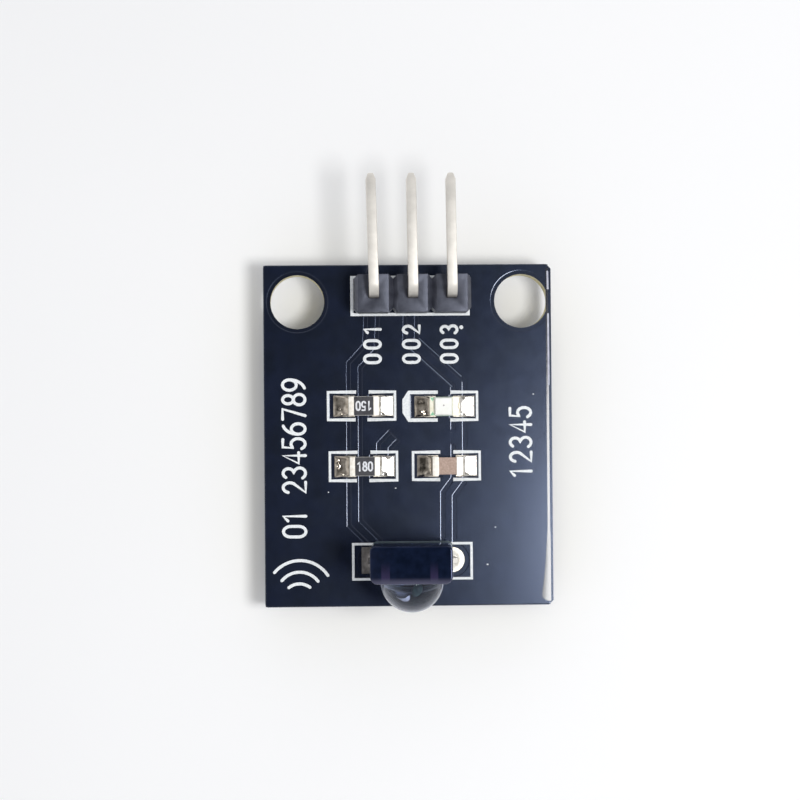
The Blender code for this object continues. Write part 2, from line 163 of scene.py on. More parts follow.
# Liquid photoimageable solder mask: navy black with a bluish haze, and a clear gloss on top.
maskLook = {
    "IOR": 1.53,
    "Specular IOR Level": 0.7,
    "Specular Tint": linear("b2c5ee"),
    "Roughness": 0.21,
    "Base Color": linear("0a0f1e"),
    "Coat Weight": 0.7,
    "Coat Roughness": 0.1,
    "Coat IOR": 1.5,
}
maskColour = (1.6, "0a101d", "0e1528")
mask = patterned("solderMask", maskLook, maskColour, (0.9, 0.195, 0.22), (0.3, 0.0008))

# The same mask where it thins out over the edge of the copper: gloss without the haze.
rimLook = {"Specular IOR Level": 0.25, "Specular Tint": linear("d6d6da"), "Coat Weight": 0.82}
maskRim = patterned("maskRim", {**maskLook, **rimLook}, maskColour, (0.9, 0.185, 0.21),
                    (0.3, 0.0004))

# The same mask painted pale near the board's edge: a painted highlight for the lamp's glare on the
# pour's sloping edge.
maskEdgeHighlight = patterned("paintedEdgeHighlightMask", {}, (0.3, "a9abbb", "ccced9"), (0.3, 0.35, 0.45), (0.1, 0.0005))

# The same mask painted paler along the slanting track: a painted highlight for the lamp's glare on
# the copper's sloping edges.
maskTrackHighlight = patterned("paintedTrackHighlightMask", {}, (0.4, "4c5769", "5f6b7f"), (0.3, 0.28, 0.36), (0.1, 0.0005))


# Glass-cloth laminate: its cut edge is straw coloured, with the cloth's layers as thin stripes.
def boardLaminate():
    material, tree, shader, spot = startMaterial("boardLaminate", {"Roughness": 0.62})
    cloth = {"bands_direction": "Z", "Scale": 2.4, "Distortion": 1.2, "Detail": 2.0,
             "Detail Scale": 2.0}
    layers = addNode(tree, "ShaderNodeTexWave", cloth, {"Vector": spot})
    edge = between(tree, layers.outputs["Fac"], "d2caa2", "dfd8b4")
    tree.links.new(edge, shader.inputs["Base Color"])
    bumped(tree, shader, spot, 0.08, 0.01)
    # The faces above and below carry the mask.
    normal = addNode(tree, "ShaderNodeNewGeometry").outputs["True Normal"]
    upward = addNode(tree, "ShaderNodeSeparateXYZ", {}, {0: normal}).outputs["Z"]
    masked = combine(tree, "GREATER_THAN", combine(tree, "ABSOLUTE", upward), 0.5)
    skin = addNode(tree, "ShaderNodeBsdfPrincipled", maskLook).outputs[0]
    tree.links.new(blend(tree, masked, shader.outputs[0], skin),
                   tree.nodes["Material Output"].inputs["Surface"])
    return material


laminate = boardLaminate()

# Screen-printed epoxy ink: chalky white, slightly uneven in thickness.
ink = patterned("printedInk", {}, (0.12, "e4e9eb", "f9fbfb"), (0.3, 0.5, 0.62), (0.06, 0.003))

metal = {"Metallic": 1.0}


# Tin plate over brass wire: warm silver, dulled by handling, with painted shade where it leaves the
# housing.
def tinPlate():
    material, tree, shader, spot = startMaterial("tinPlate", metal)
    level = addNode(tree, "ShaderNodeSeparateXYZ", {}, {0: spot}).outputs["Z"]
    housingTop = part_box("header_housing")[1].z / mm
    away = combine(tree, "ABSOLUTE", combine(tree, "SUBTRACT", level, housingTop))
    # Painted shade: the pin turns darker towards the housing's top.
    footShade = fade(tree, away, 0.1, 0.75, 1.0, 0.0, "LINEAR")
    clean = blotched(tree, spot, 0.8, "dcd8d1", "e7e3dc")
    tree.links.new(tinted(tree, footShade, clean, "6a645c"), shader.inputs["Base Color"])
    tree.links.new(uneven(tree, spot, 0.25, 0.52, 0.6), shader.inputs["Roughness"])
    bumped(tree, shader, spot, 0.07, 0.001)
    return material


wire = tinPlate()
plating = ((0.2, 0.45, 0.62), (0.07, 0.004))

# Plated tin on the chips' ends: matt and pale.
capTin = patterned("matteTin", {"Metallic": 0.8}, (0.2, "e6e0d4", "faf7f0"), *plating)

# The LED's ends: thin gold under tin, cream coloured.
goldTin = patterned("creamTin", {"Metallic": 0.6}, (0.2, "e9e6cf", "faf8ea"), *plating)

# Tin-lead solder: bright, wrinkled where it froze.
joint = patterned("solder", metal, (0.3, "cfc9bf", "f1eee8"), (0.3, 0.1, 0.24), (0.3, 0.004))

# The same solder painted brownish and darker: painted shade for the joints on the chips' left ends,
# which face away from the lamp.
paintedShadeJoint = patterned("paintedShadeSolder", metal, (0.3, "8f867a", "b9b0a4"), (0.3, 0.1, 0.22),
                        (0.3, 0.003))

# Tinned copper lands: pale and smooth.
land = patterned("tinnedCopper", metal, (0.25, "c8bfae", "e9e3d6"), (0.2, 0.24, 0.36),
                (0.15, 0.003))

# The same copper painted darker: painted shade for the receiver's first land, lead and solder,
# which lie in its body's shadow; also the LED's die.
shadedCopperAndDie = patterned("paintedShadeCopperAndDie", metal, (0.25, "7c7876", "94908d"), (0.2, 0.4, 0.55),
                    (0.15, 0.003))

# Glass-filled nylon: charcoal black, matt, with the grain of its mould.
nylonLook = {"IOR": 1.53, "Specular IOR Level": 1.0, "Specular Tint": linear("d2d8ee")}
nylon = patterned("blackNylon", nylonLook, (0.5, "292a31", "3e4048"), (0.3, 0.32, 0.41),
                  (0.09, 0.004))

# Fired alumina: bone white, dry.
alumina = patterned("firedAlumina", {}, (0.1, "cfccc4", "e6e4df"), (0.2, 0.55, 0.65), (0.04, 0.003))

# Fired glass overcoat: black, with a soft shine.
overcoat = patterned("glassOvercoat", {}, (0.3, "26262c", "35353c"), (0.3, 0.32, 0.45),
                     (0.12, 0.003))

# Resistor mark: thin grey-white ink.
markInk = patterned("markInk", {}, (0.1, "dcdee3", "f2f3f6"), (0.3, 0.5, 0.62), (0.05, 0.002))

# Barium titanate dielectric: fired tan, fine grained.
dielectric = patterned("tanDielectric", {}, (0.12, "a98f80", "bfa596"), (0.2, 0.45, 0.6),
                       (0.05, 0.003))

# White reflector laminate of the LED with a greenish cast.
ledBase = patterned("ledLaminate", {}, (0.2, "b9d6bb", "e2ecdd"), (0.2, 0.45, 0.6), (0.06, 0.002))

# Green resist of the LED's laminate.
resist = patterned("greenResist", {}, (0.1, "7cc69a", "a5dcb8"), (0.2, 0.3, 0.45), (0.05, 0.001))

# Dried flux: pale brown.
stain = patterned("driedFlux", {}, (0.1, "a08a6c", "c4b294"), (0.2, 0.35, 0.5), (0.05, 0.001))


# Cast clear epoxy over the die: milky, pale yellow green.
def milkyEpoxy():
    look = {"Roughness": 0.35, "Subsurface Weight": 0.15, "Subsurface Radius": 3 * [0.1 * mm]}
    material, tree, shader, spot = startMaterial("milkyEpoxy", look)
    tree.links.new(blotched(tree, spot, 0.5, "fafbf2", "fffffa"), shader.inputs["Base Color"])
    bumped(tree, shader, spot, 0.2, 0.001)
    return material


lens = milkyEpoxy()


# Epoxy that passes infrared, where it is thin: a smoky grey glass with a film of dust.
def smokyEpoxy():
    look = {
        "IOR": 1.55,
        "Transmission Weight": 0.97,
        "Specular Tint": linear("a9b4ba"),
        "Sheen Weight": 0.8,
        "Sheen Roughness": 0.45,
        "Sheen Tint": linear("dfe3ee"),
    }
    material, tree, shader, spot = startMaterial("smokyEpoxy", look)
    tree.links.new(blotched(tree, spot, 1.2, "a2abc4", "bcc2d6"), shader.inputs["Base Color"])
    tree.links.new(uneven(tree, spot, 0.6, 0.05, 0.08), shader.inputs["Roughness"])
    haze = {"Color": linear("7d86a0"), "Density": 230.0}
    smoke = addNode(tree, "ShaderNodeVolumeAbsorption", haze)
    tree.links.new(smoke.outputs["Volume"], tree.nodes["Material Output"].inputs["Volume"])
    return material


# The same epoxy where it is thick: polished navy black. The chip's frame shows as violet bands, and
# its front edge carries a painted highlight.
def darkEpoxy():
    look = {"IOR": 1.55, "Roughness": 0.06, "Specular Tint": linear("979dc2")}
    material, tree, shader, spot = startMaterial("darkEpoxy", look)
    place = addNode(tree, "ShaderNodeSeparateXYZ", {}, {0: spot}).outputs
    boardTop = boardHigh.z / mm
    bands = []
    for middle, half in ((-1.84, 0.27), (1.20, 0.24)):
        away = combine(tree, "ABSOLUTE", combine(tree, "SUBTRACT", place["X"], middle))
        bands.append(fade(tree, away, half + 0.05, half - 0.05))
    both = combine(tree, "ADD", *bands)
    both = combine(tree, "MULTIPLY", both, fade(tree, place["Y"], -10.6, -12.1))
    near = fade(tree, place["Z"], boardTop + 7.6, boardTop + 8.3)
    both = combine(tree, "MULTIPLY", both, near)
    banded = tinted(tree, both, blotched(tree, spot, 0.5, "0a1223", "111a2f"), "342e4a")
    # The front edge is painted pale: a painted highlight along its rounded edge.
    near = fade(tree, place["Z"], boardTop + 8.1, boardTop + 8.35)
    frontHighlight = combine(tree, "MULTIPLY", fade(tree, place["Y"], -11.7, -12.08), near)
    tree.links.new(tinted(tree, frontHighlight, banded, "4a4a5c"), shader.inputs["Base Color"])
    bumped(tree, shader, spot, 0.8, 0.001)
    return material


thinEpoxy = smokyEpoxy()
epoxy = darkEpoxy()

# A grey rim of the same epoxy round the moulding's foot: a painted highlight for the pale line of
# light along the body's lower edge.
rimHighlight = patterned("paintedRimHighlight", {}, (1.0, "56646a", "5f6d73"), (1.0, 0.3, 0.35), (0.5, 0.001))

# A teal blob inside the dome: a painted reflection of the window on the dome.
domeReflectionBlob = patterned("paintedDomeReflection", {}, (0.25, "42605f", "5d807c"), (0.2, 0.35, 0.45), (0.1, 0.002))

# A bright fold of the lead frame inside the dome.
innerPlate = patterned("innerPlate", metal, (0.3, "c2c6d2", "d6dae4"), (0.2, 0.38, 0.48),
                       (0.1, 0.002))
print("materials made")


def dress(name, material):
    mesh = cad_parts[name].data
    mesh.materials.clear()
    mesh.materials.append(material)


def addObject(name, data):
    added = bpy.data.objects.new(name, data)
    bpy.context.scene.collection.objects.link(added)
    return added


def asMesh(bm, name="scratch"):
    mesh = bpy.data.meshes.new(name)
    bm.to_mesh(mesh)
    bm.free()
    return mesh


def finishPiece(name, bm, material, replaced=(), at=onBoard, under=35.0):
    bm.transform(at)
    if at.determinant() < 0:
        bmesh.ops.reverse_faces(bm, faces=bm.faces)
    mesh = asMesh(bm, name)
    mesh.materials.append(material)
    mesh.shade_smooth()
    mesh.set_sharp_from_angle(angle=radians(under))
    piece = addObject(name, mesh)
    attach(piece, "root")
    if replaced:
        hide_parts(*replaced)


def merged(node):
    # A copy of a CAD piece's mesh, joined up and with its flat faces whole.
    bm = bmesh.new()
    bm.from_mesh(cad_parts[node].data)
    bmesh.ops.remove_doubles(bm, verts=bm.verts, dist=1e-7)
    bmesh.ops.dissolve_limit(bm, angle_limit=radians(1), verts=bm.verts, edges=bm.edges)
    return bm


def bevelled(bm, edges, width, segments):
    bmesh.ops.bevel(bm, geom=edges, offset=width, segments=segments, profile=0.5,
                    affect="EDGES", clamp_overlap=True, material=-1)


def softened(name, node, material, width, segments=2, reach=0.0):
    # The CAD piece with its sharp edges rounded. reach stretches its inner end sideways.
    bm = merged(node)
    if reach:
        inner = (max if reach > 0 else min)(v.co.x for v in bm.verts)
        for vert in [v for v in bm.verts if abs(v.co.x - inner) < 1e-6]:
            vert.co.x += reach * mm
    sharp = [e for e in bm.edges if len(e.link_faces) == 2 and e.calc_face_angle(0) > radians(28)]
    bevelled(bm, sharp, width * mm, segments)
    finishPiece(name, bm, material, (node,), Matrix.Identity(4), 20)


def meshFrom(obj):
    # The object's evaluated mesh as a bmesh. The object goes.
    bpy.context.view_layer.update()
    graph = bpy.context.evaluated_depsgraph_get()
    mesh = bpy.data.meshes.new_from_object(obj.evaluated_get(graph))
    bm = bmesh.new()
    bm.from_mesh(mesh)
    data = obj.data
    bpy.data.objects.remove(obj)
    bpy.data.meshes.remove(mesh)
    (bpy.data.curves if isinstance(data, bpy.types.Curve) else bpy.data.meshes).remove(data)
    return bm


def asObject(bm):
    return addObject("scratch", asMesh(bm))


def cutBy(bm, others):
    base = asObject(bm)
    for other in others:
        modifier = base.modifiers.new("cut", "BOOLEAN")
        modifier.object = other
        modifier.operation = "DIFFERENCE"
        modifier.solver = "EXACT"
    made = meshFrom(base)
    for other in others:
        data = other.data
        bpy.data.objects.remove(other)
        bpy.data.meshes.remove(data)
    return made


def vertsOf(geometry):
    return [part for part in geometry if isinstance(part, bmesh.types.BMVert)]


def addBlock(bm, size, centre):
    matrix = Matrix.Translation(centre) @ Matrix.Diagonal((*size, 1.0))
    bmesh.ops.create_cube(bm, size=1.0, matrix=matrix)


def addDisc(bm, radius, centre, depth, segments):
    bmesh.ops.create_cone(bm, cap_ends=True, segments=segments, radius1=radius, radius2=radius,
                          depth=depth, matrix=Matrix.Translation(centre))


def addPlate(bm, loop, depth, z=0.0):
    # A flat shape with the given outline, as thick as depth, from z upwards.
    face = bm.faces.new([bm.verts.new((p[0], p[1], z)) for p in loop])
    top = bmesh.ops.extrude_face_region(bm, geom=[face])["geom"]
    bmesh.ops.translate(bm, vec=(0, 0, depth), verts=vertsOf(top))
    bmesh.ops.recalc_face_normals(bm, faces=bm.faces)


def sideways(points, offset):
    # The points moved to the left of the line through them, mitred at its corners.
    moved = []
    for i, point in enumerate(points):
        before = (point - points[i - 1]).normalized() if i else None
        after = (points[i + 1] - point).normalized() if i + 1 < len(points) else None
        first, second = before or after, after or before
        normals = [Vector((-d.y, d.x)) for d in (first, second)]
        middle = (normals[0] + normals[1]).normalized()
        moved.append(point + middle * offset / max(0.3, middle.dot(normals[0])))
    return moved


# Copper under the mask lifts it into low steps along the tracks and round the pour.
copper = {
    # Each height, and how far the slope has run by then.
    "slopes": ((0.003, 0.0), (0.017, 0.024), (0.0205, 0.056)),
    "foot": 0.0005,
    "cutterReach": 0.5,
    "crease": 3,
    "left": -9.48,
    "right": 9.30,
    "end": 11.23,
    "clearance": 0.22,
    "holeClearance": 0.225,
    "width": 0.55,
    "tracks": (
        ((-2.28, 9.25), (-2.46, 5.78), (-3.53, 4.63), (-3.56, -5.76), (-2.28, -7.05),
         (-2.28, -8.22)),
        ((0.26, 9.25), (0.20, 6.27), (3.34, 3.40), (3.32, -2.96), (2.62, -3.90), (2.60, -7.6),
         (2.80, -8.22)),
        ((-1.60, -2.0), (-1.58, -0.72), (-0.95, -0.06)),
    ),
    "tracksBelow": (
        ((2.80, 9.25), (5.2, 6.9), (5.2, -5.6), (2.80, -8.22)),
        ((0.26, 9.25), (-1.1, 7.2), (-1.1, -6.3), (0.26, -8.22)),
    ),
    "landSize": (1.4, 1.30),
    "landAway": 1.275,
    "landMargin": 0.05,
    "holeLand": 0.9,
    # A patch where the gap between the pour and a track breaks off, a shade lower than both.
    "bridge": ((2.95, 0.41), (2.95, -0.66)),
    "bridgeWidth": 0.7,
    "bridgeHeight": 0.995,
}
reliefTop = copper["slopes"][-1][0]

# The pour slopes off towards the right edge, most of all in the lower corner.
wedge = {
    "outline": ((9.15, 11.0), (9.15, -6.2), (9.10, -6.9), (9.02, -8.0), (8.92, -9.2),
                (8.82, -10.0), (8.76, -10.4), (8.74, -10.72), (8.95, -10.92), (9.12, -11.0)),
    "offBoard": ((10, -11.5), (10, 11.5)),
    "overlap": 0.004,
    "cornerFrom": -6.5,
    "ends": (9.32, 9.35),  # X of its far side above and in the corner
    "shares": (0.4, 0.35, 0.25),
    "narrow": 0.25,
    "narrowSlopes": (0.045, 0.06, 0.075),
    "wideSlopes": (0.012, 0.027, 0.057),
    "foot": 0.001,
    "crease": 4,
}

# Painted highlights on the mask: pale lines along the slanting track, and near the right edge, for
# the lamp's glare on the copper's slopes.
paintedHighlightLines = {
    "track": ((0.45, 6.04), (3.20, 3.53)),
    "offsets": (-0.45, 0.46),
    "trackSizes": (0.07, 0.012, 0.009),  # width, level and rise
    # Painted highlight: pale lines near the right edge.
    "edgeHighlight": (((9.28, 10.75), (9.30, 9.62)), ((9.30, 7.95), (9.31, 3.3))),
    "edgeHighlightSizes": (0.12, reliefTop - 0.004, 0.006),
}


def addLoft(bm, loops):
    # A solid through outlines of as many points each, from the lowest up.
    face = bottom = bm.faces.new([bm.verts.new(p) for p in loops[0]])
    for before, after in zip(loops, loops[1:]):
        lifted = bmesh.ops.extrude_face_region(bm, geom=[face])["geom"]
        if face is not bottom:
            bmesh.ops.delete(bm, geom=[face], context="FACES_ONLY")
        face = next(f for f in lifted if isinstance(f, bmesh.types.BMFace))
        for vert in face.verts:
            nearest = min(range(len(before)),
                          key=lambda i: (Vector(before[i]) - vert.co).length_squared)
            vert.co = after[nearest]
    bmesh.ops.recalc_face_normals(bm, faces=bm.faces)


def rectangle(size, centre, spread):
    half = [length / 2 + spread for length in size]
    corners = ((-1, -1), (1, -1), (1, 1), (-1, 1))
    return [(centre[0] + a * half[0], centre[1] + b * half[1]) for a, b in corners]


def circle(radius, centre, spread, segments=96):
    reach = radius + spread
    angles = [radians(360 * i / segments) for i in range(segments)]
    return [(centre[0] + reach * cos(a), centre[1] + reach * sin(a)) for a in angles]


def strip(points, width, spread):
    points = [Vector(p) for p in points]
    points[0] += (points[0] - points[1]).normalized() * spread
    points[-1] += (points[-1] - points[-2]).normalized() * spread
    half = width / 2 + spread
    return [tuple(p) for p in sideways(points, half) + sideways(points, -half)[::-1]]


def raised(outline):
    # Relief with the given outline at its foot. outline takes how far it spreads.
    bm = bmesh.new()
    loops = [[(x, y, copper["foot"]) for x, y in outline(0)]]
    loops += [[(x, y, height) for x, y in outline(-run)] for height, run in copper["slopes"]]
    addLoft(bm, loops)
    return bm


def opening(outline):
    # A cutter that leaves the same slopes round an opening with the given outline at its foot.
    (low, start), (high, end) = copper["slopes"][-2:]
    beyond = (2 * high - low, 2 * end - start)
    reach = copper["cutterReach"]
    bm = bmesh.new()
    loops = [[(x, y, -reach) for x, y in outline(0)]]
    for height, run in (*copper["slopes"][:-1], beyond):
        loops.append([(x, y, height) for x, y in outline(run)])
    loops.append([(x, y, reach) for x, y in outline(beyond[1])])
    addLoft(bm, loops)
    return asObject(bm)


def landings(margin, below):
    # Openings over the lands of the chips and the plated holes.
    length, width = copper["landSize"]
    size = (length + 2 * margin, width + 0.5 * margin)
    radius = copper["holeLand"] + margin
    made = []
    for x, y in () if below else chips.values():
        for place in ((x - copper["landAway"], y), (x + copper["landAway"], y)):
            made.append(opening(lambda spread: rectangle(size, place, spread)))
    for place in board["receiver"] + board["header"]:
        made.append(opening(lambda spread: circle(radius, place, spread, 48)))
    return made


def makePour(name, tracks, at, below=False):
    gap, width, crease = copper["clearance"], copper["width"], copper["crease"]
    size = (copper["right"] - copper["left"], 2 * copper["end"])
    centre = ((copper["right"] + copper["left"]) / 2, 0)
    cutters = []
    for points in tracks:
        cutters.append(opening(lambda spread: strip(points, width + 2 * gap, spread)))
    for place in board["holes"]:
        radius = board["holeRadius"] + copper["holeClearance"]
        cutters.append(opening(lambda spread: circle(radius, place, spread)))
    cutters += landings(gap, below)
    if not below:
        edge = bmesh.new()
        outline = [(x + wedge["overlap"], y) for x, y in wedge["outline"]]
        reach = copper["cutterReach"]
        addPlate(edge, [*outline, *wedge["offBoard"]], 2 * reach, -reach)
        cutters.append(asObject(edge))
    pour = cutBy(raised(lambda spread: rectangle(size, centre, spread)), cutters)
    finishPiece(f"{name}Pour", pour, mask, at=at, under=crease)

    steps = bmesh.new()
    for points in tracks:
        single = asMesh(raised(lambda spread: strip(points, width, spread)))
        steps.from_mesh(single)
        bpy.data.meshes.remove(single)
    steps = cutBy(steps, landings(copper["landMargin"], below))
    finishPiece(f"{name}Tracks", steps, mask, at=at, under=crease)


def makeWedge():
    # A shallow ramp that rounds off the pour towards the edge.
    bm = bmesh.new()
    columns = []
    for x, y in wedge["outline"]:
        wide = wedge["ends"][1 if y < wedge["cornerFrom"] else 0] - x
        slopes = wedge["narrowSlopes" if wide < wedge["narrow"] else "wideSlopes"]
        across = [(x, 0.0)]
        for share, slope in zip(wedge["shares"], slopes):
            step = share * wide
            across.append((across[-1][0] + step, across[-1][1] + step * slope))
        columns.append([(bm.verts.new((a, y, wedge["foot"])), reliefTop - drop)
                        for a, drop in across])
    bottom = []
    for one, two in zip(columns, columns[1:]):
        for i in range(len(wedge["shares"])):
            bottom.append(bm.faces.new((one[i][0], one[i + 1][0], two[i + 1][0], two[i][0])))

    def placeOf(vert):
        return round(vert.co.x, 4), round(vert.co.y, 4)

    heights = {placeOf(vert): height for column in columns for vert, height in column}
    for vert in vertsOf(bmesh.ops.extrude_face_region(bm, geom=bottom)["geom"]):
        vert.co.z = heights[placeOf(vert)]
    bmesh.ops.recalc_face_normals(bm, faces=bm.faces)
    finishPiece("maskWedge", bm, maskRim, under=wedge["crease"])


def makeBridge():
    bm = raised(lambda spread: strip(copper["bridge"], copper["bridgeWidth"], spread))
    bmesh.ops.scale(bm, vec=(1, 1, copper["bridgeHeight"]), verts=bm.verts)
    finishPiece("maskBridge", bm, mask, under=copper["crease"])


makePour("maskOver", copper["tracks"], onBoard)
makePour("maskUnder", copper["tracksBelow"], underBoard, below=True)
makeWedge()
makeBridge()
print("mask relief made")

# White print: frames, plain numbers, arcs and a dot.
printed = {
    "level": reliefTop + 0.004,
    "rise": 0.014,
    "line": 0.23,
    "headerLine": 0.28,
    "pen": 0.20,
    "squeeze": 0.78,
    # Two corners of each frame, and the gaps in its upper and lower sides.
    "chipFrames": (
        ((-5.28, 1.05), (-0.87, 2.87), ((-3.43, -2.60), (-3.47, -2.70))),
        ((-5.19, -2.96), (-0.77, -1.10), ((-3.37, -2.51), (-3.42, -2.60))),
        ((0.29, -2.94), (4.69, -1.13), ((2.09, 2.95), (2.07, 2.93))),
    ),
    "ledFrame": (
        ((1.96, 2.82), (0.02, 2.82)),
        ((1.94, 0.99), (0.02, 0.99)),
        ((2.79, 2.82), (4.55, 2.82), (4.55, 0.99), (2.77, 0.99)),
    ),
    "receiverFrame": ((-3.70, -9.46), (4.10, -7.15)),
    "headerFrame": ((-3.66, 7.98), (4.02, 10.43)),
    # The digits, where they start, their height and how far apart they stand.
    "numbers": (
        ("01 23456789", (-6.80, -6.63), 1.48, 0.965),
        ("12345", (8.10, -2.80), 1.38, 0.985),
        ("001", (-1.80, 4.80), 1.06, 0.96),
        ("002", (0.77, 4.80), 1.06, 0.96),
        ("003", (3.27, 4.80), 1.06, 0.96),
    ),
    "arcs": (
        ((-8.89, -8.96), (-7.13, -8.19), (-5.38, -9.18)),
        ((-8.41, -9.50), (-7.21, -8.95), (-6.03, -9.56)),
        ((-7.95, -9.96), (-7.23, -9.72), (-6.57, -9.95)),
    ),
    "dot": (3.55, 7.10, 0.13),
    "ledWall": ((0.12, 2.93), (0.0, 2.93), (-0.38, 2.36), (-0.38, 1.47), (0.0, 0.88), (0.12, 0.88)),
    "specks": ((8.28, 2.65, 0.06), (-0.87, -3.48, 0.05), (5.69, -6.11, 0.05), (-5.3, -3.71, 0.05),
               (5.15, -8.56, 0.07)),
    "speckShape": (1, 0.7, 0.3, 1),
}

# A rounded end: each place as a share of half the line's width, and the share of its width there.
taper = ((0.0, 0.1), (0.12, 0.48), (0.45, 0.84))


def inkLines(name, strokes, width, material, level, rise, rounded=True):
    # Flattened lines of ink along strokes. Rounded ends taper over half a width.
    curve = bpy.data.curves.new(name, "CURVE")
    curve.dimensions = "3D"
    half = curve.bevel_depth = width / 2
    curve.bevel_resolution = 2
    curve.use_fill_caps = True
    for stroke, closed in strokes:
        points = [Vector(p) for p in stroke]
        radii = [1.0] * len(points)
        if rounded and not closed:
            ahead = (points[1] - points[0]).normalized()
            behind = (points[-2] - points[-1]).normalized()
            head = [points[0] + ahead * (share * half - half) for share, thickness in taper]
            tail = [points[-1] + behind * (share * half - half) for share, thickness in taper]
            ends = [thickness for share, thickness in taper]
            points = head + points + tail[::-1]
            radii = ends + radii + ends[::-1]
        spline = curve.splines.new("POLY")
        spline.points.add(len(points) - 1)
        spline.use_cyclic_u = closed
        for knot, point, radius in zip(spline.points, points, radii):
            knot.co = (point.x, point.y, 0, 1)
            knot.radius = radius
    bm = meshFrom(addObject(name, curve))
    bmesh.ops.remove_doubles(bm, verts=bm.verts, dist=1e-5)
    bmesh.ops.scale(bm, vec=(1, 1, rise / half), verts=bm.verts)
    bmesh.ops.translate(bm, vec=(0, 0, level), verts=bm.verts)
    bmesh.ops.recalc_face_normals(bm, faces=bm.faces)
    finishPiece(name, bm, material, under=60)


def arc(x, y, across, up, start, end, steps=10):
    angles = [radians(start + (end - start) * i / steps) for i in range(steps + 1)]
    return [(x + across * cos(a), y + up * sin(a)) for a in angles]


def arcThrough(a, b, c, steps=16):
    # Points along the circle through three points.
    a, b, c = Vector(a), Vector(b), Vector(c)
    squares = [point.length_squared for point in (a, b, c)]
    d = 2 * (a.x * (b.y - c.y) + b.x * (c.y - a.y) + c.x * (a.y - b.y))
    x = sum(s * (p.y - q.y) for s, p, q in zip(squares, (b, c, a), (c, a, b))) / d
    y = sum(s * (q.x - p.x) for s, p, q in zip(squares, (b, c, a), (c, a, b))) / d
    middle = Vector((x, y))
    start, end = a - middle, c - middle
    turn = start.angle_signed(end)
    return [middle + Matrix.Rotation(-turn * i / steps, 2) @ start for i in range(steps + 1)]


# Plain digits drawn with a pen in a cell 0.6 wide and 1 high.
six = [arc(0.3, 0.31, 0.3, 0.31, 180, 540, 16), arc(0.64, 0.31, 0.64, 0.69, 105, 180, 8)]
digits = {
    "0": [arc(0.3, 0.68, 0.3, 0.32, 180, 0) + arc(0.3, 0.32, 0.3, 0.32, 0, -180) + [(0.0, 0.68)]],
    "1": [[(0.08, 0.8), (0.34, 1.0), (0.34, 0.0)]],
    "2": [arc(0.3, 0.7, 0.28, 0.3, 165, -35) + [(0.02, 0.0), (0.6, 0.0)]],
    "3": [arc(0.28, 0.76, 0.27, 0.24, 150, -90) + arc(0.28, 0.26, 0.31, 0.26, 90, -150)],
    "4": [[(0.45, 0.0), (0.45, 1.0), (0.0, 0.3), (0.62, 0.3)]],
    "5": [[(0.54, 1.0), (0.1, 1.0), (0.05, 0.56)] + arc(0.28, 0.32, 0.31, 0.32, 125, -150)],
    "6": six,
    "7": [[(0.02, 1.0), (0.6, 1.0), (0.22, 0.0)]],
    "8": [arc(0.3, 0.76, 0.24, 0.24, 90, 450, 14), arc(0.3, 0.26, 0.3, 0.26, 90, 450, 16)],
    "9": [[(0.6 - x, 1 - y) for x, y in stroke] for stroke in six],
}


def numberStrokes(text, start, height, advance, turn, squeeze):
    # Strokes for a line of digits. turn is the line's direction in degrees.
    way = radians(turn)
    along, up = Vector((cos(way), sin(way))), Vector((-sin(way), cos(way)))
    strokes = []
    for i, digit in enumerate(text):
        if digit == " ":
            continue
        for stroke in digits[digit]:
            moved = [Vector(start) + along * (advance * i + x * height * squeeze) + up * y * height
                     for x, y in stroke]
            strokes.append((moved, False))
    return strokes


def openFrame(low, high, gaps):
    # A rectangular frame, open over gaps in its upper and lower sides.
    (x0, y0), (x1, y1) = low, high
    (a0, a1), (b0, b1) = gaps
    left = [(a0, y1), (x0, y1), (x0, y0), (b0, y0)]
    right = [(a1, y1), (x1, y1), (x1, y0), (b1, y0)]
    return [(left, False), (right, False)]


def closedFrame(low, high):
    return [([low, (high[0], low[1]), high, (low[0], high[1])], True)]


def makePrint():
    level, rise = printed["level"], printed["rise"]
    frames = []
    for low, high, gaps in printed["chipFrames"]:
        frames += openFrame(low, high, gaps)
    frames += [(stroke, False) for stroke in printed["ledFrame"]]
    frames += closedFrame(*printed["receiverFrame"])
    inkLines("printedFrames", frames, printed["line"], ink, level, rise, rounded=False)
    frames = closedFrame(*printed["headerFrame"])
    inkLines("printedHeaderFrame", frames, printed["headerLine"], ink, level, rise, rounded=False)
    strokes = []
    for text, start, height, advance in printed["numbers"]:
        strokes += numberStrokes(text, start, height, advance, 90, printed["squeeze"])
    strokes += [(arcThrough(*points), False) for points in printed["arcs"]]
    inkLines("printedMarks", strokes, printed["pen"], ink, level, rise)
    filled = bmesh.new()
    addPlate(filled, printed["ledWall"], rise, level)
    x, y, radius = printed["dot"]
    addDisc(filled, radius, (x, y, level + rise / 2), rise, 24)
    finishPiece("printedPatches", filled, ink)


def makePaintedHighlights():
    # Painted highlights along the track's edges, then near the board's edge.
    track = [Vector(p) for p in paintedHighlightLines["track"]]
    strokes = [(sideways(track, offset), False) for offset in paintedHighlightLines["offsets"]]
    width, level, rise = paintedHighlightLines["trackSizes"]
    inkLines("maskPaintedTrackHighlights", strokes, width, maskTrackHighlight, level, rise)
    strokes = [(line, False) for line in paintedHighlightLines["edgeHighlight"]]
    width, level, rise = paintedHighlightLines["edgeHighlightSizes"]
    inkLines("maskPaintedEdgeHighlight", strokes, width, maskEdgeHighlight, level, rise)


def makeDust():
    dust = bmesh.new()
    shape = Matrix.Diagonal(printed["speckShape"])
    for x, y, radius in printed["specks"]:
        place = Matrix.Translation((x, y, printed["level"]))
        bmesh.ops.create_icosphere(dust, subdivisions=2, radius=radius, matrix=place @ shape)
    finishPiece("dust", dust, ink)


makePrint()
makePaintedHighlights()
makeDust()
print("print made")


def boxOf(node):
    # A CAD piece's box in millimetres from the middle of the board's top face.
    return [onBoard.inverted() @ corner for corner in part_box(node)]


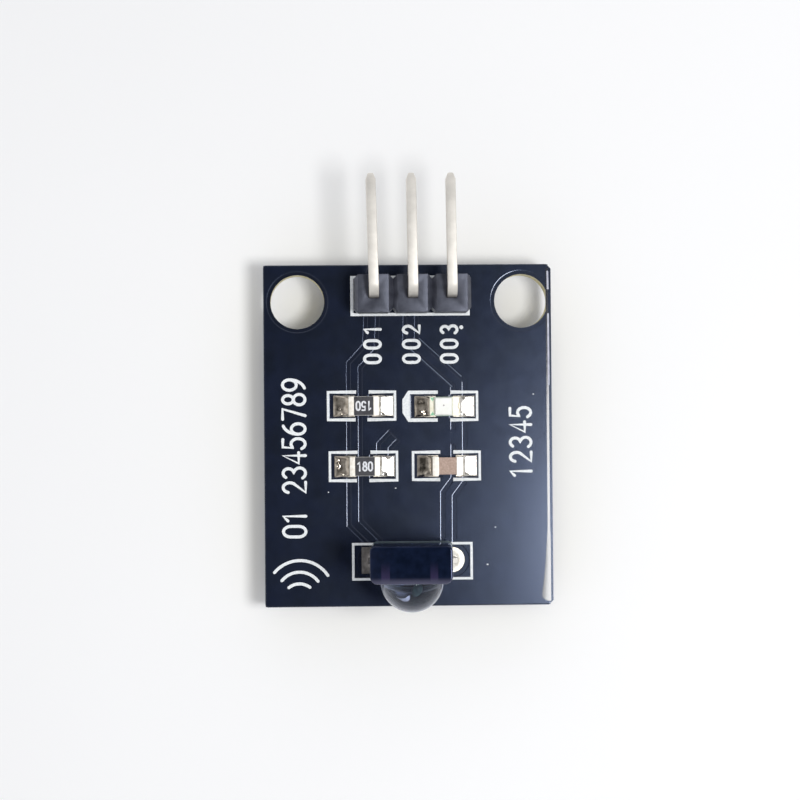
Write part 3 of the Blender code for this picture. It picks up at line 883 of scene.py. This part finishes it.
# Solder joints at the chips' ends: a dished sheet of solder that climbs the terminal. Each has the
# terminal's number, how high it climbs, how it leans and how deep it is dished, then its dimples:
# place along and across, size and height.
joints = {
    "rim": 0.06,
    "rimRun": (0.2, 0.1),
    "rimPower": 0.8,
    "thinnest": 0.004,
    "apron": 0.01,
    "overlap": 0.06,
    "narrowing": 0.06,
    "sideDrop": 0.3,
    "steps": 48,
    "wrinkle": 0.004,
    "grain": 0.35,
    "climb": (6.0, 14.0),
    "dimpleSquash": 0.7,
    "resistor_a": (
        (1, 0.46, 0.14, 0.0,
         ((0.58, -0.35, 0.20, -0.06), (0.42, -0.85, 0.17, 0.10), (0.30, 0.60, 0.30, -0.02))),
        (2, 0.46, 0.13, 0.0, ((0.80, -0.85, 0.16, -0.04), (0.30, 0.95, 0.12, 0.03))),
    ),
    "resistor_b": (
        (1, 0.46, 0.12, 0.02,
         ((0.60, 0.0, 0.42, -0.05), (0.45, -0.90, 0.16, 0.10), (0.13, 0.55, 0.12, 0.06),
          (0.16, 0.05, 0.12, 0.06))),
        (2, 0.46, 0.13, 0.0, ((0.75, -0.80, 0.18, -0.05), (0.4, 0.95, 0.12, -0.03))),
    ),
    "capacitor": (
        (1, 0.56, 0.0, -0.01, ((0.62, -0.74, 0.17, 0.10), (0.0, 0.3, 0.35, -0.03))),
        (2, 0.56, 0.13, 0.0, ((0.75, -0.95, 0.18, -0.05),)),
    ),
    "led": (
        (1, 0.3, 0.03, 0.0,
         ((0.75, 0.35, 0.26, -0.03), (0.35, -0.45, 0.32, 0.09), (0.55, -0.80, 0.15, 0.03))),
        (2, 0.3, 0.12, 0.0, ((0.9, 0.85, 0.2, -0.05), (0.85, -0.8, 0.2, -0.05))),
    ),
}


def makeJoint(name, number, height, lean, dish, dimples):
    side = 1 if number == 2 else -1
    landLow, landHigh = boxOf(f"{name}_land_{number}")
    capLow, capHigh = boxOf(f"{name}_terminal_{number}")
    outer, inner = (landLow.x, capLow.x) if side < 0 else (landHigh.x, capHigh.x)
    outer += side * joints["apron"]
    inner -= side * joints["overlap"]
    middle, width = (landLow.y + landHigh.y) / 2, landHigh.y - landLow.y + 2 * joints["apron"]
    rim, base = joints["rim"], landHigh.z
    rimRun, climb = joints["rimRun"][number - 1], joints["climb"][number - 1]
    bm = bmesh.new()
    bmesh.ops.create_grid(bm, x_segments=joints["steps"], y_segments=joints["steps"], size=0.5)
    for vert in bm.verts:
        u, v = vert.co.x + 0.5, 2 * vert.co.y
        x = outer + (inner - outer) * u
        y = middle + v * width / 2 * (1 - joints["narrowing"] * u * u)
        margin = min(1, min(abs(x - outer), (1 - abs(v)) * width / 2) / rimRun)
        edge = sin(radians(90 * margin)) ** joints["rimPower"]
        wave = noise.noise(Vector((x, y, 5 * number)) / joints["grain"])
        z = rim + lean * u - dish * sin(radians(180 * u)) * (1 - v * v) + joints["wrinkle"] * wave
        z += (height - rim - lean) * u ** climb * (1 - joints["sideDrop"] * v * v)
        for along, across, size, rise in dimples:
            away = (u - along) ** 2 + (joints["dimpleSquash"] * (v - across)) ** 2
            z += rise * exp(-away / size ** 2)
        vert.co = (x, y, base + max(joints["thinnest"], edge * z))
    for vert in vertsOf(bmesh.ops.extrude_face_region(bm, geom=bm.faces[:])["geom"]):
        vert.co.z = base
    bmesh.ops.recalc_face_normals(bm, faces=bm.faces)
    # The left joints take the solder with painted shade.
    finishPiece(f"{name}Joint{number}", bm, paintedShadeJoint if side < 0 else joint,
                (f"{name}_fillet_{number}",), under=60)


for name in chips:
    for shape in joints[name]:
        makeJoint(name, *shape)
print("solder joints made")

# Receiver: a sealed moulding with a dome, on leads that lean with it.
receiver = {
    "lean": 3.0,
    "size": (5.2, 2.4, 6.95),
    "middle": 0.09,
    "floor": 2.3,
    "frontCorner": 0.5,
    "backCorner": 0.34,
    "topEdge": 0.12,
    "domeRadius": 2.0,
    "domeHeight": 4.15,
    "domeInset": 0.05,
    "domeRoot": 0.3,
    # Inside the dome: a bright fold of the lead frame, and a teal blob that is a painted reflection
    # of the window on the dome. Their places are from the moulding's upper front edge.
    "glint": ((-0.48, 0.11), (-0.34, -0.01), (-0.16, -0.11), (0.04, -0.19), (0.24, -0.17),
              (0.37, -0.03), (0.40, 0.27), (0.28, 0.19), (0.10, 0.05), (-0.14, 0.0), (-0.32, 0.05)),
    "glintDepth": 0.04,
    "glintPlace": (-0.5, -0.93, -1.37),
    "glintTilt": (8, 2),
    "reflectionPlace": (0.3, -0.36, -1.6),
    "reflectionTurn": -25,
    "reflectionSize": (0.27, 0.42, 0.16),
    "rimHighlightWidth": 0.05,
    "rimHighlightHeight": 0.03,
    "rimHighlightLevel": 0.2,
}
receiverFoot = Matrix.Translation((*board["receiver"][1], -board["thickness"] / 2))
receiverLean = Matrix.Rotation(-radians(receiver["lean"]), 4, "Y")
receiverFrame = onBoard @ receiverFoot @ receiverLean


def middleOf(edge):
    return (edge.verts[0].co + edge.verts[1].co) / 2


def uprights(bm, tall):
    return [e for e in bm.edges if abs(e.verts[0].co.z - e.verts[1].co.z) > tall]


def makeReceiver():
    width, depth, height = receiver["size"]
    middle, floor = receiver["middle"], receiver["floor"]
    bm = bmesh.new()
    addBlock(bm, (width, depth, height), (0, middle, floor + height / 2))
    front = [e for e in uprights(bm, 1) if middleOf(e).y < middle]
    bevelled(bm, front, receiver["frontCorner"], 10)
    back = [e for e in uprights(bm, 1) if abs(middleOf(e).y - middle - depth / 2) < 0.001]
    bevelled(bm, back, receiver["backCorner"], 5)
    rims = [e for e in bm.edges if not floor + 0.01 < middleOf(e).z < floor + height - 0.01]
    bevelled(bm, rims, receiver["topEdge"], 4)
    finishPiece("receiverBody", bm, epoxy, ("receiver_body",), receiverFrame, under=22)
    dome = bmesh.new()
    face = middle - depth / 2 + receiver["domeInset"]
    place = Matrix.Translation((0, face, floor + receiver["domeHeight"]))
    bmesh.ops.create_uvsphere(dome, u_segments=112, v_segments=56, radius=receiver["domeRadius"],
                              matrix=place @ Matrix.Rotation(radians(90), 4, "X"))
    cut = bmesh.ops.bisect_plane(dome, geom=dome.verts[:] + dome.edges[:] + dome.faces[:],
                                 plane_no=(0, 1, 0), plane_co=(0, face + receiver["domeRoot"], 0),
                                 clear_outer=True)["geom_cut"]
    bmesh.ops.edgeloop_fill(dome, edges=[e for e in cut if isinstance(e, bmesh.types.BMEdge)])
    bmesh.ops.recalc_face_normals(dome, faces=dome.faces)
    finishPiece("receiverDome", dome, thinEpoxy, at=receiverFrame, under=40)


def makeTrims():
    # What shows inside the dome, with the painted reflection among it, and the painted highlight
    # round the foot.
    width, depth, height = receiver["size"]
    middle, floor = receiver["middle"], receiver["floor"]
    front, top = middle - depth / 2, floor + height
    bm = bmesh.new()
    addPlate(bm, receiver["glint"], receiver["glintDepth"])
    x, y, z = receiver["glintPlace"]
    forward, aside = (radians(angle) for angle in receiver["glintTilt"])
    tilt = Matrix.Rotation(forward, 4, "X") @ Matrix.Rotation(aside, 4, "Y")
    bm.transform(Matrix.Translation((x, front + y, top + z)) @ tilt)
    finishPiece("receiverGlint", bm, innerPlate, at=receiverFrame)
    bm = bmesh.new()
    x, y, z = receiver["reflectionPlace"]
    turn = Matrix.Rotation(radians(receiver["reflectionTurn"]), 4, "Z")
    blob = Matrix.Translation((x, front + y, top + z)) @ turn
    blob = blob @ Matrix.Diagonal((*receiver["reflectionSize"], 1))
    bmesh.ops.create_uvsphere(bm, u_segments=32, v_segments=16, radius=1.0, matrix=blob)
    finishPiece("receiverPaintedReflection", bm, domeReflectionBlob, at=receiverFrame)
    bm = bmesh.new()
    out = receiver["rimHighlightWidth"]
    addBlock(bm, (width + out, depth + out, receiver["rimHighlightHeight"]),
             (0, middle, floor + receiver["rimHighlightLevel"]))
    near = [e for e in uprights(bm, 0.01) if middleOf(e).y < 0]
    bevelled(bm, near, receiver["frontCorner"], 8)
    far = [e for e in uprights(bm, 0.01) if middleOf(e).y > depth / 2]
    bevelled(bm, far, receiver["backCorner"], 6)
    finishPiece("receiverPaintedRimLine", bm, rimHighlight, at=receiverFrame)


makeReceiver()
makeTrims()
print("receiver made")

# How far each piece's sharp edges are rounded, and the capacitor's caps stretched inwards.
edges = {"pin": 0.06, "lead": 0.04, "housing": 0.05, "terminal": 0.03, "core": 0.02, "lens": 0.03}
capStretch = 0.085

dress("circuit_board", laminate)
for number in (1, 2, 3):
    softened(f"headerPin{number}", f"header_pin_{number}", wire, edges["pin"], 3)
    # The receiver's first lead, land and solder take the copper with painted shade.
    softened(f"receiverLead{number}", f"receiver_lead_{number}", shadedCopperAndDie if number == 1 else wire,
             edges["lead"])
    dress(f"header_hole_{number}", land)
    dress(f"receiver_hole_{number}", shadedCopperAndDie if number == 1 else land)
    soldered = {"header": joint, "receiver": {1: shadedCopperAndDie, 2: joint, 3: capTin}[number]}
    for row, material in soldered.items():
        node = f"{row}_solder_{number}"
        finishPiece(f"{row}Solder{number}", merged(node), material, (node,),
                    Matrix.Identity(4), 50)
softened("headerHousing", "header_housing", nylon, edges["housing"])
for name in chips:
    tin = goldTin if name == "led" else capTin
    for number, stretch in ((1, capStretch), (2, -capStretch)):
        dress(f"{name}_land_{number}", land)
        softened(f"{name}Terminal{number}", f"{name}_terminal_{number}", tin,
                 edges["terminal"], reach=stretch if name == "capacitor" else 0.0)
for name in ("resistor_a", "resistor_b"):
    dress(f"{name}_core", alumina)
    dress(f"{name}_overcoat", overcoat)
softened("capacitorCore", "capacitor_core", dielectric, edges["core"])
dress("led_base", ledBase)
softened("ledLens", "led_lens", lens, edges["lens"])
print("pieces dressed")

# Green resist in the corners of the LED's left end, a flux stain along its right end, and its die.
ledMarks = {
    "resist": ((0.03, 0.585), (0.30, 0.585), (0.20, 0.33)),
    "resistRise": 0.006,
    "stain": ((3.36, 2.44), (3.38, 2.22), (3.31, 2.0), (3.27, 1.86), (3.37, 1.64), (3.32, 1.42)),
    "stainLine": 0.04,
    "stainRise": 0.005,
    "die": 0.05,
    "dieShift": 0.06,
    "dieRise": 0.008,
}


def markLed():
    low, high = boxOf("led_terminal_1")
    middle = chips["led"][1]
    bm = bmesh.new()
    for side in (-1, 1):
        corner = [(low.x + x, middle + side * y) for x, y in ledMarks["resist"]]
        addPlate(bm, corner, ledMarks["resistRise"], high.z)
    finishPiece("ledResist", bm, resist)
    top = boxOf("led_terminal_2")[1].z
    inkLines("ledStain", [(ledMarks["stain"], False)], ledMarks["stainLine"], stain, top,
             ledMarks["stainRise"])
    low, high = boxOf("led_lens")
    bm = bmesh.new()
    place = ((low.x + high.x) / 2, middle + ledMarks["dieShift"], high.z)
    addDisc(bm, ledMarks["die"], place, ledMarks["dieRise"], 16)
    finishPiece("ledDie", bm, shadedCopperAndDie)


markLed()

# Plain marks on the resistors, one of them upside down.
marks = {"height": 0.56, "advance": 0.36, "line": 0.11, "squeeze": 0.72, "cell": 0.6,
         "lift": 0.001, "rise": 0.006}


def markResistor(node, text, turn):
    low, high = boxOf(f"{node}_overcoat")
    height, advance, squeeze = marks["height"], marks["advance"], marks["squeeze"]
    length = advance * (len(text) - 1) + marks["cell"] * height * squeeze
    way = Matrix.Rotation(radians(turn), 2)
    middle = Vector(((low.x + high.x) / 2, (low.y + high.y) / 2))
    start = middle + way @ Vector((-length / 2, -height / 2))
    strokes = numberStrokes(text, start, height, advance, turn, squeeze)
    inkLines(f"{node}Mark", strokes, marks["line"], markInk, high.z + marks["lift"], marks["rise"])


markResistor("resistor_a", "150", 180)
markResistor("resistor_b", "180", 0)

# Angles in degrees, the paper's fade in millimetres, the lamp's and the floor's sizes in metres.
studio = {
    "floorRadius": 3.0,
    "paperFade": (38.0, 110.0),
    "keyWay": (0.316, -0.104, 0.943),
    "keyAway": 0.17,
    "keyHalf": 8.6,
    "keyPower": 0.13,
    "skyHigh": 0.44,
    "skyLow": 1.0,
    "skyLowRight": -0.35,
    "overhead": 0.05,
    "ceilingAngles": (19, 6),
    "wallAngles": (58, 38),
    "backdropAngles": (15, 30),
    "rightWay": (0.95, -0.31, 0),
    "rightFade": (0.0, 0.6),
}


def makeWorld():
    # Pale walls all round, a dim ceiling and the dark of the camera overhead.
    world = bpy.data.worlds.new("room")
    bpy.context.scene.world = world
    world.use_nodes = True
    tree = world.node_tree
    way = addNode(tree, "ShaderNodeTexCoord").outputs["Generated"]
    height = addNode(tree, "ShaderNodeSeparateXYZ", {}, {0: way}).outputs["Z"]
    settings = {"operation": "DOT_PRODUCT", 1: studio["rightWay"]}
    across = addNode(tree, "ShaderNodeVectorMath", settings, {0: way}).outputs["Value"]
    ceiling = [cos(radians(angle)) for angle in studio["ceilingAngles"]]
    wall = [cos(radians(angle)) for angle in studio["wallAngles"]]
    overhead = fade(tree, height, *ceiling, studio["skyHigh"], studio["overhead"])
    around = fade(tree, height, *wall, studio["skyLow"] - studio["skyHigh"], 0.0)
    right = combine(tree, "MULTIPLY", fade(tree, across, *studio["rightFade"]),
                    fade(tree, height, *wall, studio["skyLowRight"], 0.0))
    strength = combine(tree, "ADD", combine(tree, "ADD", overhead, around), right)
    # The backdrop is white to the camera, and to metal and glass as far up as a backdrop stands.
    seen = addNode(tree, "ShaderNodeLightPath").outputs
    mirrored = combine(tree, "MAXIMUM", seen["Is Glossy Ray"], seen["Is Transmission Ray"])
    upTo = [sin(radians(angle)) for angle in studio["backdropAngles"]]
    mirrored = combine(tree, "MULTIPLY", mirrored, fade(tree, height, *upTo, 1.0, 0.0))
    backdrop = combine(tree, "MAXIMUM", seen["Is Camera Ray"], mirrored)
    room = tree.nodes["Background"]
    room.inputs["Color"].default_value = linear("fbfcff")
    tree.links.new(strength, room.inputs["Strength"])
    white = addNode(tree, "ShaderNodeBackground", {"Color": linear("ffffff"), "Strength": 1.0})
    tree.links.new(blend(tree, backdrop, room.outputs[0], white.outputs[0]),
                   tree.nodes["World Output"].inputs["Surface"])


# White paper. Far off it is as white as the backdrop, and from below it can be seen through.
def paper():
    material, tree, shader, spot = startMaterial("whitePaper", {"Specular IOR Level": 0.1})
    tree.links.new(blotched(tree, spot, 60.0, "fbfbfb", "fdfdfd"), shader.inputs["Base Color"])
    tree.links.new(uneven(tree, spot, 60.0, 0.85, 0.95), shader.inputs["Roughness"])
    away = addNode(tree, "ShaderNodeVectorMath", {"operation": "LENGTH"}, {0: spot})
    far = fade(tree, away.outputs["Value"], *studio["paperFade"])
    seen = addNode(tree, "ShaderNodeLightPath").outputs
    looking = combine(tree, "MAXIMUM", seen["Is Camera Ray"], seen["Is Glossy Ray"])
    looking = combine(tree, "MAXIMUM", looking, seen["Is Transmission Ray"])
    white = addNode(tree, "ShaderNodeEmission", {"Color": linear("ffffff"), "Strength": 1.0})
    share = combine(tree, "MULTIPLY", far, looking)
    above = blend(tree, share, shader.outputs[0], white.outputs[0])
    clear = addNode(tree, "ShaderNodeBsdfTransparent").outputs[0]
    below = addNode(tree, "ShaderNodeNewGeometry").outputs["Backfacing"]
    tree.links.new(blend(tree, below, above, clear),
                   tree.nodes["Material Output"].inputs["Surface"])
    return material


def makeStudio():
    bm = bmesh.new()
    bmesh.ops.create_circle(bm, cap_ends=True, segments=96, radius=studio["floorRadius"])
    mesh = asMesh(bm, "floor")
    mesh.materials.append(paper())
    addObject("floor", mesh)

    lamp = bpy.data.lights.new("window", "AREA")
    lamp.shape = "DISK"
    lamp.size = 2 * studio["keyAway"] * tan(radians(studio["keyHalf"]))
    lamp.energy = studio["keyPower"]
    window = addObject("window", lamp)
    window.location = Vector(studio["keyWay"]) * studio["keyAway"]
    window.rotation_euler = (-Vector(studio["keyWay"])).to_track_quat("-Z", "Y").to_euler()


# The camera looks almost straight down, from a little to the left. Its focal length is in pixels.
viewpoint = {
    "place": (-6.48, -0.07, 160.0),
    "turns": (-0.858, 2.127, 0.442),
    "focal": 2427.7,
    "picture": 800,
    "clip": (0.002, 20.0),
}


def makeCamera():
    lensData = bpy.data.cameras.new("camera")
    lensData.angle = 2 * atan(viewpoint["picture"] / 2 / viewpoint["focal"])
    lensData.clip_start, lensData.clip_end = viewpoint["clip"]
    camera = addObject("camera", lensData)
    turn = Matrix.Identity(3)
    for axis, angle in zip("XYZ", viewpoint["turns"]):
        turn = Matrix.Rotation(radians(angle), 3, axis) @ turn
    place = Matrix.Translation(onBoard @ Vector(viewpoint["place"]))
    camera.matrix_world = place @ turn.transposed().to_4x4()
    bpy.context.scene.camera = camera


makeStudio()
makeWorld()
makeCamera()
bpy.context.scene.view_settings.view_transform = "Standard"
print("studio and camera made")
